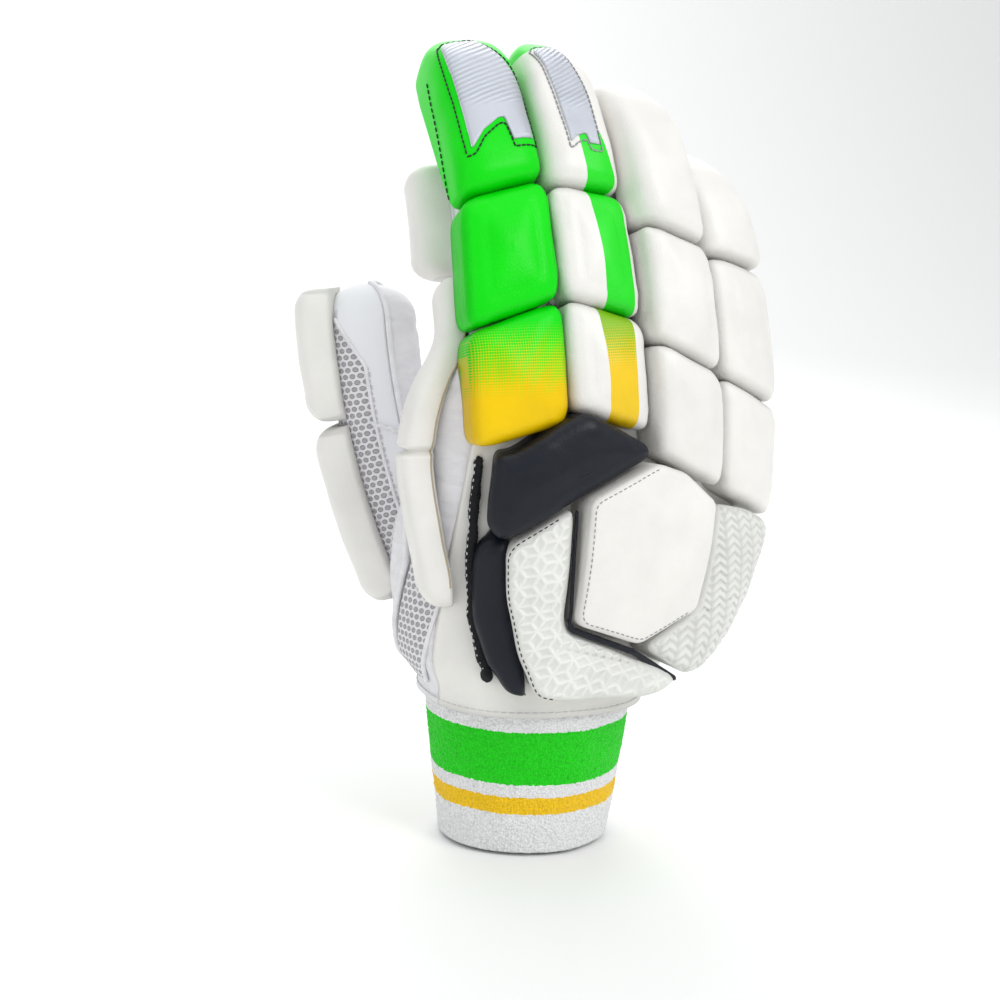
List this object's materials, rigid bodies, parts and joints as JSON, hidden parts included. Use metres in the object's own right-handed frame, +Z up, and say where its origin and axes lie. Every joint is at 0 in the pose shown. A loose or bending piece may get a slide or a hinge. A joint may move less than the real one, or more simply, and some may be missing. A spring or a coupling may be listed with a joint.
{
  "type": "cricket batting glove",
  "caption": "Right-hand cricket batting glove with padded finger blocks, a towelling wristband, a leather palm and mesh gussets, open at the wrist.",
  "frame": {"origin": "middle of the wrist opening, level with the lower hem of the wristband", "axes": "+Z up the fingers, -Y the back of the hand, +Y the palm, -X the thumb side"},
  "size_m": [0.1811, 0.1227, 0.31],
  "materials": {
    "terry": "looped towelling, white with a green and a yellow band",
    "strap": "white coated hook-and-loop strap",
    "white_pu": "white coated synthetic leather over foam, fine grain",
    "embossed_pu": "white coated synthetic leather with a raised block pattern",
    "green_pu": "bright green coated synthetic leather",
    "yellow_pu": "yellow coated synthetic leather with a printed fade to green",
    "navy_pu": "dark navy coated synthetic leather over foam",
    "leather": "soft white sheep leather, fine grain and creases",
    "mesh_cloth": "white open air mesh",
    "silver": "silver ribbed glossy panel",
    "edging": "black rough-cut stitched edging"
  },
  "bodies": {
    "root": {"badge_pad": "white_pu", "dark_panel": "navy_pu", "edging": "edging", "hand_back": "white_pu", "heel_patch": "leather", "index_base_pad": "yellow_pu", "index_front": "leather", "index_gusset": "mesh_cloth", "index_mid_pad": "green_pu", "index_tip_pad": "green_pu", "index_window": "silver", "knuckle_roll": "navy_pu", "left_block": "embossed_pu", "little_base_pad": "white_pu", "little_front": "leather", "little_gusset": "mesh_cloth", "little_mid_pad": "white_pu", "little_tip_pad": "white_pu", "lower_side_bar": "white_pu", "lower_thumb_bar": "white_pu", "middle_base_pad": "white_pu", "middle_front": "leather", "middle_gusset": "mesh_cloth", "middle_mid_pad": "white_pu", "middle_tip_pad": "white_pu", "middle_window": "silver", "palm": "leather", "right_block": "embossed_pu", "ring_base_pad": "white_pu", "ring_front": "leather", "ring_gusset": "mesh_cloth", "ring_mid_pad": "white_pu", "ring_tip_pad": "white_pu", "thumb_front": "leather", "thumb_gusset": "mesh_cloth", "upper_side_bar": "white_pu", "upper_thumb_bar": "white_pu", "wrist_strap": "strap", "wristband": "terry"}
  },
  "joints": []
}
